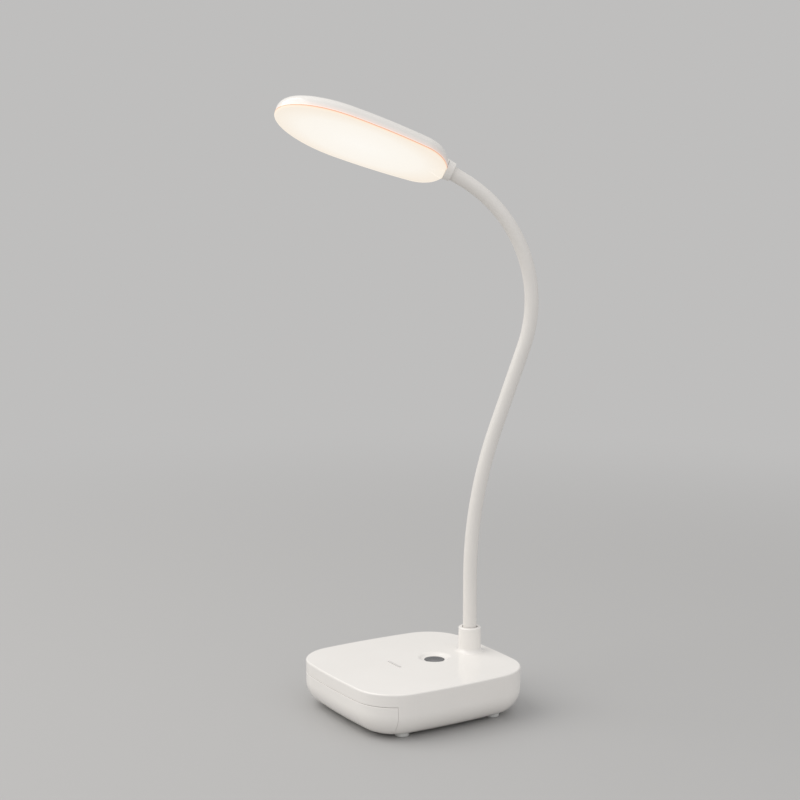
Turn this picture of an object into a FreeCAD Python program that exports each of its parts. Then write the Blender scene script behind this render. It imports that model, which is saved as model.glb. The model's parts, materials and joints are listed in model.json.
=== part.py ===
import FreeCAD, Part
import math
import os
from FreeCAD import Matrix, Placement, Vector

# Rechargeable desk lamp: a flat rounded base with a shallow drawer in its front, a flexible
# gooseneck that rises from a collar at the back of the lid, and a slim paddle-shaped LED head.
#
# Frame: millimetres, +Z up, origin on the floor under the middle of the base.
# The drawer opens towards -Y and the collar stands near +Y.

# ---------------------------------------------------------------- driving dimensions: base
BASE_WIDTH = 105.0
BASE_LENGTH = 110.0
BASE_HEIGHT = 28.0
CORNER_RADIUS = 25.4
SIDE_BOW_RADIUS = 415.0
BELLY_RADIUS = 14.0
TOP_EDGE_RADIUS = 1.0
SHELL_WALL = 2.0
LID_DEPTH = 7.2
TONGUE_HEIGHT = 1.6
TONGUE_WALL = 1.1

FOOT_STANDOFF = 1.3
FOOT_RADIUS = 4.1
FOOT_RECESS = 0.8
FOOT_INSET_X = 14.5
FOOT_INSET_Y = 24.0

POST_RADIUS = 4.0
BASE_SCREW_RADIUS = 1.3
BASE_SCREW_HEAD_RADIUS = 2.5
BASE_SCREW_HEAD = 1.8
BASE_SCREW_SEAT = 3.3
BASE_SCREW_TIP = 2.0

# ---------------------------------------------------------------- driving dimensions: drawer
DRAWER_SPLIT = 15.0
DRAWER_WALL = 2.2
TRAY_SETBACK = 2.0
TRAY_REAR_GAP = 5.9
TRAY_WALL = 1.5
TRAY_LIFT = 0.6
FLANGE_REACH = 3.0
FLANGE_THICKNESS = 1.6
RAIL_THICKNESS = 1.2
BAY_WALL = 1.4
BAY_REAR_GAP = 0.5
NIB_LENGTH = 2.45
STOP_LENGTH = 2.0
STOP_HEIGHT = 4.0
DECK_THICKNESS = 1.5
DECK_DROP = 1.0
DECK_LIP_HEIGHT = 2.6
DECK_LIP_WALL = 1.2
FRONT_SCREW_SPREAD = 18.0
FRONT_SCREW_RADIUS = 0.9
FRONT_SCREW_HEAD_RADIUS = 1.8
FRONT_SCREW_HEAD = 1.1
FRONT_BOSS_RADIUS = 2.8
FRONT_SKIN = 1.6
FRONT_LIP_RADIUS = 0.5

# ---------------------------------------------------------------- driving dimensions: controls
DISC_SPACING = 25.5
DISC_RADIUS = 6.0
DISC_THICKNESS = 1.2
DISC_HOLLOW_RADIUS = 50.0
DISH_RADIUS = 10.6
DISH_DEPTH = 1.5
DISC_LEDGE = 1.2
DISC_BOSS_WALL = 2.5
SLOT_SPACING = 28.0
SLOT_LENGTH = 13.6
SLOT_WIDTH = 1.4
PIPE_PROUD = 0.5
PIPE_CROWN = 0.4
PIPE_FLANGE = 1.0
PIPE_FLANGE_REACH = 1.0
BOARD_WIDTH = 46.0
BOARD_LENGTH = 39.5
BOARD_THICKNESS = 1.6
BOARD_CEILING_GAP = 2.8
BOARD_SCREW_RADIUS = 0.95
BOARD_SCREW_HEAD_RADIUS = 1.9
BOARD_SCREW_HEAD = 1.0
BOARD_BOSS_RADIUS = 2.5
BOARD_HOLE_INSET = 4.0
CHIP_SIDE = 7.0
COIL_SIDE = 6.0
PLUG_LENGTH = 5.0
PLUG_WIDTH = 4.0
SMALL_PART_LENGTH = 3.0
SMALL_PART_WIDTH = 1.6
PART_SPREAD = 12.0
PART_SPACING = 8.0
SPRING_RADIUS = 2.2
SPRING_WIRE = 0.25
SPRING_TURNS = 3

# ---------------------------------------------------------------- driving dimensions: power
CELL_TOP_GAP = 2.0
CELL_END_GAP = 1.5
CELL_SPACING = 16.0
CELL_CAP_RADIUS = 3.0
CELL_CAP = 0.6
CRADLE_WALL = 0.65
CRADLE_HEIGHT = 6.0
CRADLE_WIDTH = 8.0
BALLAST_THICKNESS = 1.6
BALLAST_SIDE_GAP = 1.0
BALLAST_LENGTH = 26.0
BALLAST_OVERLAP = 8.0
CHARGE_BOARD_WIDTH = 20.0
CHARGE_BOARD_LENGTH = 8.0
CHARGE_BOARD_THICKNESS = 1.2
CHARGE_BOARD_LIFT = 3.3
CHARGE_BOARD_SETBACK = 4.2
CHARGE_SCREW_SPREAD = 7.6
CHARGE_POST_RADIUS = 2.0
SOCKET_WIDTH = 8.9
SOCKET_HEIGHT = 3.2
SOCKET_DEPTH = 7.3
SOCKET_SKIN = 0.35
SOCKET_TONGUE = 0.7
SOCKET_TONGUE_SETBACK = 1.0
SOCKET_BACK = 0.8

# ---------------------------------------------------------------- driving dimensions: neck
COLLAR_INSET = 14.0
COLLAR_HEIGHT = 15.0
COLLAR_RADIUS = 6.8
COLLAR_BORE_RADIUS = 4.8
COLLAR_BORE_DEPTH = 12.0
COLLAR_FOOT_RADIUS = 2.5
COLLAR_RIM_RADIUS = 0.7
NECK_BOSS_RADIUS = 9.0
NECK_BOSS_DEPTH = 1.5
SLEEVE_RADIUS = 4.15
SLEEVE_WALL = 1.1
HOSE_WALL = 0.95
LEAD_RADIUS = 0.65
LEAD_SPREAD = 0.85
STUD_RADIUS = 4.0
STUD_FLANGE = 1.5
STUD_LENGTH = 15.0
HOSE_TAIL = 12.0
LEAD_TAIL = 19.0
WASHER_RADIUS = 7.0
WASHER_THICKNESS = 1.2
NUT_FLATS = 13.0
NUT_HEIGHT = 4.5

NECK_YAW = 32.3
NECK_RISE = 45.7
LEAN_RADIUS = 288.0
LEAN_ANGLE = 18.5
LEAN_RUN = 50.7
CROOK_RADIUS = 82.8
CROOK_ANGLE = 78.0
END_RUN = 11.2
JOINT_COUNT = 7
JOINT_FIRST = 32.0
JOINT_PITCH = 40.0
NECK_BALL_TRIM = 0.1
NECK_GAP = 0.3

# ---------------------------------------------------------------- driving dimensions: head
HEAD_LENGTH = 104.6
HEAD_WIDTH = 44.8
HEAD_TIP_LENGTH = 41.2
HEAD_TAPER = 3.2
HEAD_PITCH = 13.0
HEAD_AXIS_HEIGHT = 2.3
COVER_HEIGHT = 10.0
COVER_ROUNDING = 7.5
COVER_WALL = 1.8
DIFFUSER_DEPTH = 1.7
DIFFUSER_ROUNDING = 1.4
DIFFUSER_WALL = 1.2
DIFFUSER_LIP = 1.6
DIFFUSER_LIP_WALL = 1.0
HUB_START = 0.8
HUB_HEIGHT = 2.5
HUB_PITCH = 6.0
HUB_RADIUS = 6.2
HUB_LENGTH = 4.5
HUB_BLEND_RADIUS = 5.1
HUB_BLEND_LENGTH = 9.0
FERRULE_RADIUS = 6.1
FERRULE_END_RADIUS = 5.6
FERRULE_LENGTH = 4.5
FERRULE_ROUNDING = 0.3
FERRULE_REBATE = 1.0
FERRULE_REBATE_GAP = 0.35
HOSE_INSERTION = 10.0
LEAD_INSERTION = 13.0
SLEEVE_INSERTION = 2.0
REFLECTOR_WALL = 1.0
REFLECTOR_HEIGHT = 2.3
LED_BOARD_THICKNESS = 1.2
LED_BOARD_HEIGHT = 2.0
LED_BOARD_REAR = 18.0
LED_LENGTH = 3.5
LED_WIDTH = 2.8
LED_HEIGHT = 0.7
LED_ROWS = 3
LED_COLUMNS = 8
LED_PITCH = 8.6
LED_ROW_PITCH = 10.0
LED_MARGIN = 1.5
LED_SCREW_RADIUS = 0.95
LED_SCREW_HEAD_RADIUS = 1.9
LED_SCREW_HEAD = 0.9
LED_BOSS_RADIUS = 2.6
LED_SCREW_FIRST = 31.0
LED_SCREW_PITCH = 25.8
LED_SCREW_COUNT = 3
CLAMP_LENGTH = 4.5
CLAMP_WIDTH = 17.0
CLAMP_SPREAD = 6.0
CLAMP_WALL = 0.7
CLAMP_EAR = 1.8
CLAMP_BOSS_RADIUS = 2.2

# ---------------------------------------------------------------- clearances
FIT_GAP = 0.15
SLIDE_GAP = 0.3
THREAD_GAP = 0.05
MATCH = 1e-4

# ---------------------------------------------------------------- levels worked out from them
SEAM_Z = BASE_HEIGHT - LID_DEPTH
FLOOR_Z = FOOT_STANDOFF + SHELL_WALL
CEILING_Z = BASE_HEIGHT - SHELL_WALL
POST_X = BASE_WIDTH / 2 - FOOT_INSET_X
POST_Y = BASE_LENGTH / 2 - FOOT_INSET_Y
SPLIT_Y = -BASE_LENGTH / 2 + DRAWER_SPLIT
COLLAR_Y = BASE_LENGTH / 2 - COLLAR_INSET
DISC_Y = COLLAR_Y - DISC_SPACING
SLOT_Y = DISC_Y - SLOT_SPACING
CELL_Y = COLLAR_Y - CELL_SPACING
DECK_TOP = SEAM_Z - DECK_DROP
DECK_LOW = DECK_TOP - DECK_THICKNESS
BAY_HALF = POST_X - POST_RADIUS - SLIDE_GAP - BAY_WALL
BAY_FRONT = SPLIT_Y + SHELL_WALL
BALLAST_REAR = POST_Y + BALLAST_OVERLAP
BALLAST_FRONT = BALLAST_REAR - BALLAST_LENGTH
BAY_REAR = BALLAST_FRONT - BAY_REAR_GAP
FLANGE_TOP = DECK_LOW - SLIDE_GAP
FLANGE_LOW = FLANGE_TOP - FLANGE_THICKNESS
RAIL_TOP = FLANGE_LOW - SLIDE_GAP
RAIL_LOW = RAIL_TOP - RAIL_THICKNESS
TRAY_HALF = BAY_HALF - SLIDE_GAP - FLANGE_REACH
TRAY_LOW = FLOOR_Z + TRAY_LIFT
TRAY_FRONT = -BASE_LENGTH / 2 + DRAWER_WALL + TRAY_SETBACK
TRAY_REAR = BAY_REAR - TRAY_REAR_GAP
NIB_FRONT = TRAY_REAR - NIB_LENGTH
DRAWER_TRAVEL = NIB_FRONT - FIT_GAP - STOP_LENGTH - BAY_FRONT
FOOT_TOP = FOOT_STANDOFF + FOOT_RECESS
SCREW_SEAT_Z = FOOT_STANDOFF + BASE_SCREW_SEAT
DISC_TOP = BASE_HEIGHT - DISH_DEPTH
DISC_LOW = DISC_TOP - DISC_THICKNESS
DISC_BOSS_LOW = DISC_LOW - DISC_LEDGE
BOARD_TOP = CEILING_Z - BOARD_CEILING_GAP
BOARD_LOW = BOARD_TOP - BOARD_THICKNESS
BALLAST_TOP = FLOOR_Z + BALLAST_THICKNESS
BALLAST_WIDTH = 2 * (POST_X - POST_RADIUS - BALLAST_SIDE_GAP)
CELL_LOW = BALLAST_TOP + CRADLE_WALL + FIT_GAP
CELL_RADIUS = (CEILING_Z - CELL_TOP_GAP - CELL_LOW) / 2
CELL_Z = CELL_LOW + CELL_RADIUS
CELL_LENGTH = 2 * (POST_X - POST_RADIUS - CELL_END_GAP)
CELL_HALF_UNDER_BOARD = math.sqrt(max(0.0, CELL_RADIUS ** 2 - (BOARD_LOW - CELL_Z) ** 2))
BOARD_REAR = CELL_Y - CELL_HALF_UNDER_BOARD - SLIDE_GAP
BOARD_FRONT = BOARD_REAR - BOARD_LENGTH
COLLAR_TOP = BASE_HEIGHT + COLLAR_HEIGHT
STUD_SEAT = COLLAR_TOP - COLLAR_BORE_DEPTH
NECK_BOSS_LOW = CEILING_Z - NECK_BOSS_DEPTH
SLEEVE_BORE = SLEEVE_RADIUS - SLEEVE_WALL
HOSE_RADIUS = SLEEVE_BORE - THREAD_GAP
HOSE_BORE = HOSE_RADIUS - HOSE_WALL
HEAD_HALF = HEAD_WIDTH / 2
HEAD_SHOULDER = HEAD_LENGTH - HEAD_TIP_LENGTH
HEAD_REAR_RADIUS = HEAD_HALF - HEAD_TAPER
HEAD_SIDE_RUN = HEAD_SHOULDER - HEAD_REAR_RADIUS
HEAD_SIDE_RADIUS = (HEAD_HALF ** 2 - HEAD_REAR_RADIUS ** 2 + HEAD_SIDE_RUN ** 2) / (2 * HEAD_TAPER)
LED_BOARD_TOP = LED_BOARD_HEIGHT + LED_BOARD_THICKNESS


# ---------------------------------------------------------------- general helpers
def box(x_low, x_high, y_low, y_high, z_low, z_high):
    """A block given by its lowest and highest corners."""
    corner = Vector(x_low, y_low, z_low)
    return Part.makeBox(x_high - x_low, y_high - y_low, z_high - z_low, corner)


def post(x, y, radius, z_low, z_high):
    """An upright cylinder."""
    return Part.makeCylinder(radius, z_high - z_low, Vector(x, y, z_low))


def joined(shapes):
    """One solid from several that meet."""
    return shapes[0].multiFuse(shapes[1:]).removeSplitter()


def corners(x, y):
    """The four places at +-x, +-y."""
    return [(x, y), (-x, y), (-x, -y), (x, -y)]


def edges_at(solid, z, keep=None):
    """Edges that lie in the horizontal plane at height z and pass the test keep."""
    flat = [e for e in solid.Edges if max(abs(e.BoundBox.ZMin - z), abs(e.BoundBox.ZMax - z)) < MATCH]
    return [e for e in flat if keep is None or keep(e)]


def is_circle(radius):
    """A test for edges_at: round edges of one radius."""
    def test(edge):
        return isinstance(edge.Curve, Part.Circle) and abs(edge.Curve.Radius - radius) < MATCH
    return test


def upright_edges(solid):
    """Straight edges that run along Z."""
    return [e for e in solid.Edges if max(e.BoundBox.XLength, e.BoundBox.YLength) < MATCH]


def slot_block(x, y, length, width, z_low, z_high):
    """An upright block with rounded ends, long in X."""
    half = (length - width) / 2
    middle = box(x - half, x + half, y - width / 2, y + width / 2, z_low, z_high)
    ends = [post(x + side * half, y, width / 2, z_low, z_high) for side in (-1, 1)]
    return joined([middle] + ends)


# ---------------------------------------------------------------- base outline and shells
def base_outline(inset):
    """The base's plan outline: four sides bowed outwards, joined by tangent corner arcs."""
    width = BASE_WIDTH / 2 - inset
    length = BASE_LENGTH / 2 - inset
    corner = CORNER_RADIUS - inset
    bow = SIDE_BOW_RADIUS - inset
    side_centre = Vector(width - bow, 0, 0)
    end_centre = Vector(0, length - bow, 0)
    chord = end_centre - side_centre
    reach = math.sqrt((bow - corner) ** 2 - (chord.Length / 2) ** 2)
    square = Vector(-chord.y, chord.x, 0).normalize()
    centre = (side_centre + end_centre) * 0.5 + square * reach
    to_side = (centre - side_centre).normalize()
    to_end = (centre - end_centre).normalize()
    side_point = centre + to_side * corner
    end_point = centre + to_end * corner
    mid_point = centre + (to_side + to_end).normalize() * corner

    def mirrored(point, sx, sy):
        return Vector(point.x * sx, point.y * sy, 0)

    arcs = []
    for sx, sy in ((1, 1), (-1, 1), (-1, -1), (1, -1)):
        points = [mirrored(p, sx, sy) for p in (side_point, mid_point, end_point)]
        arcs.append(Part.Arc(*points).toShape())
    for sy in (1, -1):
        ends = [mirrored(end_point, 1, sy), Vector(0, length * sy, 0), mirrored(end_point, -1, sy)]
        arcs.append(Part.Arc(*ends).toShape())
    for sx in (1, -1):
        ends = [mirrored(side_point, sx, 1), Vector(width * sx, 0, 0), mirrored(side_point, sx, -1)]
        arcs.append(Part.Arc(*ends).toShape())
    return Part.Wire(Part.__sortEdges__(arcs))


def base_slab(inset, z_low, z_high):
    """The outline, drawn in by inset and extruded between two heights."""
    face = Part.Face(base_outline(inset))
    face.translate(Vector(0, 0, z_low))
    return face.extrude(Vector(0, 0, z_high - z_low))


def base_block(inset, z_high, top_radius=0.0):
    """The base's body drawn in by inset, with its deeply rounded belly."""
    z_low = FOOT_STANDOFF + inset
    block = base_slab(inset, z_low, z_high)
    block = block.makeFillet(BELLY_RADIUS - inset, edges_at(block, z_low))
    if top_radius:
        block = block.makeFillet(top_radius, edges_at(block, z_high))
    return block


def front_of(y):
    """A block that covers everything in front of y."""
    return box(-BASE_WIDTH, BASE_WIDTH, -BASE_LENGTH, y, -BASE_HEIGHT, 2 * BASE_HEIGHT)


def below(z):
    """A block that covers the whole base up to height z."""
    return box(-BASE_WIDTH, BASE_WIDTH, -BASE_LENGTH, BASE_LENGTH, -BASE_HEIGHT, z)


# ---------------------------------------------------------------- base pieces
def top_housing():
    """Lid with the collar, the touch dish, the indicator slot and its bosses."""
    outer = base_block(0, BASE_HEIGHT, TOP_EDGE_RADIUS).cut(below(SEAM_Z))
    lid = outer.cut(base_block(SHELL_WALL, CEILING_Z))
    collar = post(0, COLLAR_Y, COLLAR_RADIUS, CEILING_Z, COLLAR_TOP)
    lid = joined([lid, collar])
    lid = lid.makeFillet(COLLAR_FOOT_RADIUS, edges_at(lid, BASE_HEIGHT, is_circle(COLLAR_RADIUS)))
    lid = lid.makeFillet(COLLAR_RIM_RADIUS, edges_at(lid, COLLAR_TOP, is_circle(COLLAR_RADIUS)))

    bosses = [post(0, COLLAR_Y, NECK_BOSS_RADIUS, NECK_BOSS_LOW, CEILING_Z)]
    bosses.append(post(0, DISC_Y, DISC_RADIUS + DISC_BOSS_WALL, DISC_BOSS_LOW, CEILING_Z))
    for x, y in corners(POST_X, POST_Y):
        bosses.append(post(x, y, POST_RADIUS, DECK_TOP, CEILING_Z))
    for x, y in board_holes():
        bosses.append(post(x, y, BOARD_BOSS_RADIUS, BOARD_TOP, CEILING_Z))
    lid = joined([lid] + bosses)

    cuts = [post(0, COLLAR_Y, COLLAR_BORE_RADIUS, STUD_SEAT, COLLAR_TOP + SHELL_WALL)]
    cuts.append(post(0, COLLAR_Y, STUD_RADIUS + FIT_GAP, FLOOR_Z, STUD_SEAT + STUD_FLANGE))
    cuts.append(touch_dish())
    cuts.append(post(0, DISC_Y, DISC_RADIUS + FIT_GAP, DISC_LOW, BASE_HEIGHT))
    cuts.append(post(0, DISC_Y, DISC_RADIUS - DISC_LEDGE, FLOOR_Z, BASE_HEIGHT))
    cuts.append(slot_block(0, SLOT_Y, SLOT_LENGTH, SLOT_WIDTH, BOARD_TOP, COLLAR_TOP))
    for x, y in corners(POST_X, POST_Y):
        cuts.append(post(x, y, BASE_SCREW_RADIUS + THREAD_GAP, FLOOR_Z, CEILING_Z - BASE_SCREW_TIP / 2))
    for x, y in board_holes():
        cuts.append(post(x, y, BOARD_SCREW_RADIUS + THREAD_GAP, FLOOR_Z, CEILING_Z - FIT_GAP))
    for cut in cuts:
        lid = lid.cut(cut)
    return lid


def touch_dish():
    """Shallow dish round the touch disc: an S-shaped slope of two equal tangent arcs."""
    rim = DISC_RADIUS + FIT_GAP
    run = DISH_RADIUS - rim
    radius = (run ** 2 + DISH_DEPTH ** 2) / (4 * DISH_DEPTH)
    half_turn = math.atan2(DISH_DEPTH, run)
    rise = radius * (1 - math.cos(half_turn))
    step = radius * math.sin(half_turn)
    low = Vector(rim, 0, DISC_TOP)
    low_mid = low + Vector(step, 0, rise)
    middle = Vector(rim + run / 2, 0, DISC_TOP + DISH_DEPTH / 2)
    high = Vector(DISH_RADIUS, 0, BASE_HEIGHT)
    high_mid = high - Vector(step, 0, rise)
    above = BASE_HEIGHT + DISH_DEPTH
    profile = [Part.Arc(low, low_mid, middle).toShape(), Part.Arc(middle, high_mid, high).toShape()]
    points = [high, Vector(DISH_RADIUS, 0, above), Vector(0, 0, above), Vector(0, 0, DISC_TOP), low]
    profile += [Part.LineSegment(a, b).toShape() for a, b in zip(points, points[1:])]
    face = Part.Face(Part.Wire(Part.__sortEdges__(profile)))
    dish = face.revolve(Vector(0, 0, 0), Vector(0, 0, 1), 360)
    dish.translate(Vector(0, DISC_Y, 0))
    return dish


def lower_housing():
    """Lower shell behind the drawer, with screw posts, bulkheads, tongue and charging slot."""
    outer = base_block(0, BASE_HEIGHT).common(below(SEAM_Z))
    inner = base_block(SHELL_WALL, CEILING_Z)
    shell = outer.cut(inner)
    tongue_inset = SHELL_WALL + FIT_GAP
    root = SEAM_Z - TONGUE_HEIGHT
    tongue = base_slab(tongue_inset, root, SEAM_Z + TONGUE_HEIGHT)
    tongue = tongue.fuse(base_slab(SHELL_WALL / 2, root - TONGUE_WALL, root))
    tongue = tongue.cut(base_slab(tongue_inset + TONGUE_WALL, FLOOR_Z, BASE_HEIGHT))
    tongue = tongue.cut(front_of(BAY_FRONT + SHELL_WALL))

    gate = box(-BASE_WIDTH, BASE_WIDTH, SPLIT_Y, BAY_FRONT - SLIDE_GAP, 0, DECK_LOW)
    gate = gate.common(base_block(SHELL_WALL / 2, BASE_HEIGHT))
    doorway = BAY_HALF + BAY_WALL + FIT_GAP
    gate = gate.cut(box(-doorway, doorway, -BASE_LENGTH, 0, FLOOR_Z, BASE_HEIGHT))

    pieces = [shell.cut(front_of(SPLIT_Y)), tongue, gate]
    for x, y in corners(POST_X, POST_Y):
        top = DECK_LOW if y < 0 else DECK_TOP
        pieces.append(post(x, y, POST_RADIUS, FOOT_TOP, top))
    for x in (-CHARGE_SCREW_SPREAD, CHARGE_SCREW_SPREAD):
        pieces.append(post(x, charge_board_y(), CHARGE_POST_RADIUS, FLOOR_Z - SHELL_WALL / 4,
                           FLOOR_Z + CHARGE_BOARD_LIFT))
    housing = joined(pieces).cut(front_of(SPLIT_Y + FIT_GAP / 2))

    cuts = [socket_opening()]
    for x, y in corners(POST_X, POST_Y):
        cuts.append(post(x, y, FOOT_RADIUS + FIT_GAP, 0, FOOT_TOP))
        cuts.append(post(x, y, BASE_SCREW_HEAD_RADIUS + FIT_GAP, 0, SCREW_SEAT_Z))
        cuts.append(post(x, y, BASE_SCREW_RADIUS + FIT_GAP, 0, BASE_HEIGHT))
    for x in (-CHARGE_SCREW_SPREAD, CHARGE_SCREW_SPREAD):
        cuts.append(post(x, charge_board_y(), BOARD_SCREW_RADIUS + THREAD_GAP, FLOOR_Z, BASE_HEIGHT))
    for cut in cuts:
        housing = housing.cut(cut)
    return housing


def inner_deck():
    """Deck over the drawer with the bay's side walls, the drawer's rails and its end stops."""
    inset = SHELL_WALL + FIT_GAP + TONGUE_WALL + SLIDE_GAP
    deck = base_slab(inset, DECK_LOW, DECK_TOP).common(front_of(BAY_REAR))
    lip = base_slab(inset, DECK_TOP, DECK_TOP + DECK_LIP_HEIGHT)
    lip = lip.cut(base_slab(inset + DECK_LIP_WALL, DECK_LOW, BASE_HEIGHT))
    pieces = [deck, lip.common(front_of(BAY_FRONT))]
    for side in (-1, 1):
        wall = sorted((side * BAY_HALF, side * (BAY_HALF + BAY_WALL)))
        pieces.append(box(*wall, BAY_FRONT, BAY_REAR, FLOOR_Z, DECK_TOP))
        rail = sorted((side * (TRAY_HALF + SLIDE_GAP), side * (BAY_HALF + BAY_WALL / 2)))
        pieces.append(box(*rail, BAY_FRONT, BAY_REAR, RAIL_LOW, RAIL_TOP))
        pieces.append(box(*rail, BAY_FRONT, BAY_FRONT + STOP_LENGTH, RAIL_LOW - STOP_HEIGHT, RAIL_LOW))
    deck = joined(pieces)
    for x, y in corners(POST_X, POST_Y):
        deck = deck.cut(post(x, y, BASE_SCREW_RADIUS + FIT_GAP, FLOOR_Z, BASE_HEIGHT))
    return deck


def rubber_feet():
    """Four soft round feet, each pressed into its recess."""
    feet = []
    for x, y in corners(POST_X, POST_Y):
        foot = post(x, y, FOOT_RADIUS, 0, FOOT_TOP)
        feet.append(foot.makeFillet(FOOT_STANDOFF / 2, edges_at(foot, 0)))
    return Part.makeCompound(feet)


def screw(x, y, head_low, head_high, head_radius, tip, radius):
    """A round-headed screw whose head lies between two heights; the shank runs to tip."""
    seat = head_high if tip > head_high else head_low
    head = post(x, y, head_radius, head_low, head_high)
    shank = post(x, y, radius, min(seat, tip), max(seat, tip))
    recess_low = head_low if seat == head_high else head_high - (head_high - head_low) / 2
    recess = post(x, y, head_radius / 2, recess_low, recess_low + (head_high - head_low) / 2)
    return joined([head, shank]).cut(recess)


def base_screws():
    """Four screws that pull the lid down onto the lower housing, hidden by the feet."""
    head_low = SCREW_SEAT_Z - BASE_SCREW_HEAD
    tip = CEILING_Z - BASE_SCREW_TIP
    return Part.makeCompound([
        screw(x, y, head_low, SCREW_SEAT_Z, BASE_SCREW_HEAD_RADIUS, tip, BASE_SCREW_RADIUS)
        for x, y in corners(POST_X, POST_Y)
    ])


# ---------------------------------------------------------------- drawer
def drawer_front():
    """Curved drawer front: the lower part of the shell ahead of the split, with two bosses."""
    shell = base_block(0, SEAM_Z - SLIDE_GAP, FRONT_LIP_RADIUS).cut(base_block(DRAWER_WALL, BASE_HEIGHT))
    bosses = []
    for x in (-FRONT_SCREW_SPREAD, FRONT_SCREW_SPREAD):
        start = Vector(x, -BASE_LENGTH / 2, front_screw_z())
        boss = Part.makeCylinder(FRONT_BOSS_RADIUS, BASE_LENGTH / 2 + TRAY_FRONT, start, Vector(0, 1, 0))
        bosses.append(boss.common(base_block(DRAWER_WALL / 2, BASE_HEIGHT)))
    front = joined([shell] + bosses)
    front = front.common(front_of(SPLIT_Y - FIT_GAP / 2))
    bore = FRONT_SCREW_RADIUS + THREAD_GAP
    for x in (-FRONT_SCREW_SPREAD, FRONT_SCREW_SPREAD):
        start = Vector(x, TRAY_FRONT, front_screw_z())
        front = front.cut(Part.makeCylinder(bore, front_screw_depth(), start, Vector(0, -1, 0)))
    return front


def front_screw_z():
    """Height of the screws between the tray and the drawer front."""
    return RAIL_LOW - FRONT_SCREW_HEAD_RADIUS


def front_screw_depth():
    """How far those screws reach past the tray's front wall."""
    return TRAY_SETBACK + DRAWER_WALL - FRONT_SKIN


def drawer_tray():
    """Open tray whose side flanges hang on the rails; nibs at its rear meet the end stops."""
    belly_inset = DRAWER_WALL + SLIDE_GAP
    body = box(-TRAY_HALF, TRAY_HALF, TRAY_FRONT, TRAY_REAR, TRAY_LOW, FLANGE_TOP)
    body = body.common(base_block(belly_inset, BASE_HEIGHT))
    flange_half = BAY_HALF - SLIDE_GAP
    flange = box(-flange_half, flange_half, BAY_FRONT, TRAY_REAR, FLANGE_LOW, FLANGE_TOP)
    pieces = [body, flange]
    for side in (-1, 1):
        span = sorted((side * (TRAY_HALF - TRAY_WALL / 2), side * flange_half))
        pieces.append(box(*span, NIB_FRONT, TRAY_REAR, RAIL_LOW - STOP_HEIGHT, RAIL_LOW - SLIDE_GAP))
    hollow = box(-TRAY_HALF + TRAY_WALL, TRAY_HALF - TRAY_WALL, TRAY_FRONT + TRAY_WALL,
                 TRAY_REAR - TRAY_WALL, TRAY_LOW + TRAY_WALL, BASE_HEIGHT)
    hollow = hollow.makeFillet(TRAY_WALL, upright_edges(hollow))
    hollow = hollow.common(base_block(belly_inset + TRAY_WALL, 2 * BASE_HEIGHT))
    tray = joined(pieces).cut(hollow)
    for x in (-FRONT_SCREW_SPREAD, FRONT_SCREW_SPREAD):
        start = Vector(x, TRAY_FRONT - TRAY_WALL, front_screw_z())
        hole = Part.makeCylinder(FRONT_SCREW_RADIUS + FIT_GAP, 3 * TRAY_WALL, start, Vector(0, 1, 0))
        seat = Vector(x, TRAY_FRONT + TRAY_WALL, front_screw_z())
        wide = FRONT_SCREW_HEAD_RADIUS + FIT_GAP
        face = Part.makeCylinder(wide, 2 * FRONT_SCREW_HEAD, seat, Vector(0, 1, 0))
        tray = tray.cut(hole).cut(face)
    return tray


def front_screws():
    """Two screws that hold the tray to the drawer front."""
    screws = []
    for x in (-FRONT_SCREW_SPREAD, FRONT_SCREW_SPREAD):
        seat = Vector(x, TRAY_FRONT + TRAY_WALL, front_screw_z())
        head = Part.makeCylinder(FRONT_SCREW_HEAD_RADIUS, FRONT_SCREW_HEAD, seat, Vector(0, 1, 0))
        reach = TRAY_WALL + front_screw_depth() - 2 * FIT_GAP
        shank = Part.makeCylinder(FRONT_SCREW_RADIUS, reach, seat, Vector(0, -1, 0))
        screws.append(joined([head, shank]))
    return Part.makeCompound(screws)


# ---------------------------------------------------------------- touch control and boards
def touch_disc():
    """Polished touch disc with a faintly hollow face."""
    disc = post(0, DISC_Y, DISC_RADIUS, DISC_LOW, DISC_TOP)
    hollow_depth = DISC_RADIUS ** 2 / (2 * DISC_HOLLOW_RADIUS)
    centre = Vector(0, DISC_Y, DISC_TOP - hollow_depth + DISC_HOLLOW_RADIUS)
    ball = Part.makeSphere(DISC_HOLLOW_RADIUS - FIT_GAP, centre)
    return disc.cut(ball)


def touch_spring():
    """Small contact spring between the control board and the touch disc."""
    height = DISC_LOW - BOARD_TOP - 2 * SPRING_WIRE
    spine = Part.makeHelix(height / SPRING_TURNS, height, SPRING_RADIUS - SPRING_WIRE)
    spine.translate(Vector(0, DISC_Y, BOARD_TOP + SPRING_WIRE))
    start = Vector(SPRING_RADIUS - SPRING_WIRE, DISC_Y, BOARD_TOP + SPRING_WIRE)
    wire = Part.Wire(Part.makeCircle(SPRING_WIRE, start, Vector(0, 1, 0)))
    return Part.Wire(spine).makePipeShell([wire], True, True)


def indicator_light_pipe():
    """Milky bar that stands a little proud of the lid's slot, with a flange under the lid."""
    top = BASE_HEIGHT + PIPE_PROUD
    stem = slot_block(0, SLOT_Y, SLOT_LENGTH - 2 * FIT_GAP, SLOT_WIDTH - 2 * FIT_GAP,
                      CEILING_Z - PIPE_FLANGE, top)
    stem = stem.makeFillet(PIPE_CROWN, edges_at(stem, top))
    length = SLOT_LENGTH + 2 * PIPE_FLANGE_REACH
    width = SLOT_WIDTH + 2 * PIPE_FLANGE_REACH
    flange = slot_block(0, SLOT_Y, length, width, CEILING_Z - PIPE_FLANGE, CEILING_Z)
    return joined([stem, flange])


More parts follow.
